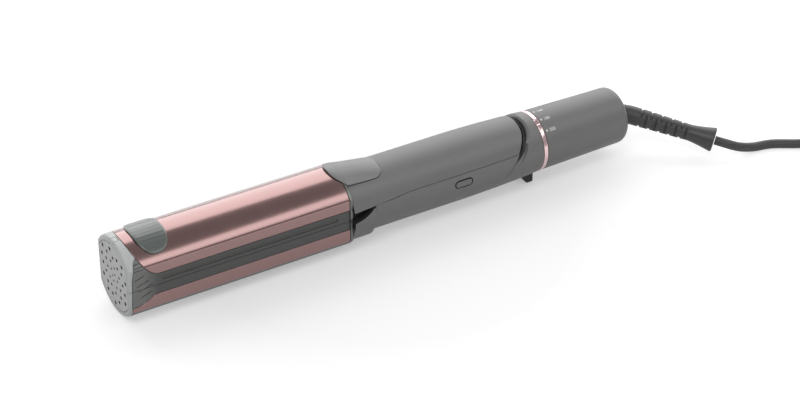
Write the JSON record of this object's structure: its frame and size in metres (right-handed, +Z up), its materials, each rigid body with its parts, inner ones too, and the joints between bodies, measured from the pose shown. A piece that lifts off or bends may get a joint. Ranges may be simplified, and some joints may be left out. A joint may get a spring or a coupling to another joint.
{
  "type": "hair straightener",
  "caption": "Slim round hair straightener with a hinged arm, floating plates, a perforated tip, an end dial and a swivel cord.",
  "frame": {"origin": "middle of the body's outline on the surface it lies on, without the cord", "axes": "+X along the body from the perforated tip towards the cord, +Z up from the resting surface, -Y the side with the button"},
  "size_m": [0.5201, 0.1153, 0.0432],
  "materials": {
    "rose_metal": "polished rose metal",
    "dark_plastic": "satin",
    "handle_plastic": "soft satin",
    "pale_plastic": "fine satin",
    "trim_metal": "bright",
    "plate_coating": "smooth coated",
    "steel": "plain",
    "heater_metal": "plain",
    "silicone": "matt",
    "board": "satin",
    "cord_rubber": "matt",
    "plug_plastic": "matt",
    "pin_brass": "nickelled"
  },
  "bodies": {
    "housing": {"lower_barrel_skin": "rose_metal", "lower_barrel_frame": "dark_plastic", "lower_tip_cap": "pale_plastic", "lower_barrel_trim": "trim_metal", "tip_grille": "pale_plastic", "lower_housing": "handle_plastic", "hinge_pin": "steel", "arm_spring": "steel", "fan_duct": "dark_plastic", "fan_motor": "steel", "circuit_board": "board", "button_switch": "dark_plastic", "accent_ring": "rose_metal", "dial_spindle": "dark_plastic", "dial_switch": "dark_plastic", "lower_cushion_front": "silicone", "lower_cushion_rear": "silicone"},
    "upper_arm": {"upper_barrel_skin": "rose_metal", "upper_barrel_frame": "dark_plastic", "upper_tip_cap": "pale_plastic", "upper_barrel_trim": "trim_metal", "finger_rest": "dark_plastic", "thumb_pad": "handle_plastic", "upper_cover": "handle_plastic", "upper_cushion_front": "silicone", "upper_cushion_rear": "silicone"},
    "lower_plate_carrier": {"lower_plate": "plate_coating", "lower_heater": "heater_metal"},
    "upper_plate_carrier": {"upper_plate": "plate_coating", "upper_heater": "heater_metal"},
    "impeller": {"fan_impeller": "pale_plastic"},
    "dial": {"temperature_dial": "handle_plastic"},
    "button": {"power_button": "handle_plastic"},
    "lock": {"lock_slider": "dark_plastic"},
    "cord_swivel": {"strain_relief": "cord_rubber", "cord_lead": "cord_rubber", "cord_coil": "cord_rubber", "cord_tail": "cord_rubber", "cord_tie": "dark_plastic", "plug_body": "plug_plastic", "plug_pin_left": "pin_brass", "plug_pin_right": "pin_brass"}
  },
  "joints": [
    {"name": "arm_hinge", "type": "hinge", "parent": "housing", "child": "upper_arm", "pos_m": [0.07515, 0, 0.0249], "axis": [0, 1, 0], "range_deg": [0, 10]},
    {"name": "lower_plate_float", "type": "slide", "parent": "housing", "child": "lower_plate_carrier", "axis": [0, 0, -1], "range_m": [0, 0.001], "stiffness_N_per_m": 3000, "springref_m": -0.0005, "deforming": ["lower_cushion_front", "lower_cushion_rear"]},
    {"name": "upper_plate_float", "type": "slide", "parent": "upper_arm", "child": "upper_plate_carrier", "axis": [0, 0, 1], "range_m": [0, 0.001], "stiffness_N_per_m": 3000, "springref_m": -0.0005, "deforming": ["upper_cushion_front", "upper_cushion_rear"]},
    {"name": "fan_spin", "type": "hinge", "parent": "housing", "child": "impeller", "pos_m": [0.00515, 0, 0.0159], "axis": [1, 0, 0], "continuous": true},
    {"name": "dial_turn", "type": "hinge", "parent": "housing", "child": "dial", "pos_m": [0.12015, 0, 0.0209], "axis": [1, 0, 0], "range_deg": [-24.5, 24.5]},
    {"name": "button_press", "type": "slide", "parent": "housing", "child": "button", "axis": [0, 1, 0], "range_m": [0, 0.0008], "stiffness_N_per_m": 800, "springref_m": -0.0004},
    {"name": "lock_slide", "type": "slide", "parent": "housing", "child": "lock", "axis": [-1, 0, 0], "range_m": [0, 0.0045]},
    {"name": "cord_swivel_turn", "type": "hinge", "parent": "housing", "child": "cord_swivel", "pos_m": [0.13815, 0, 0.0209], "axis": [1, 0, 0], "continuous": true}
  ]
}
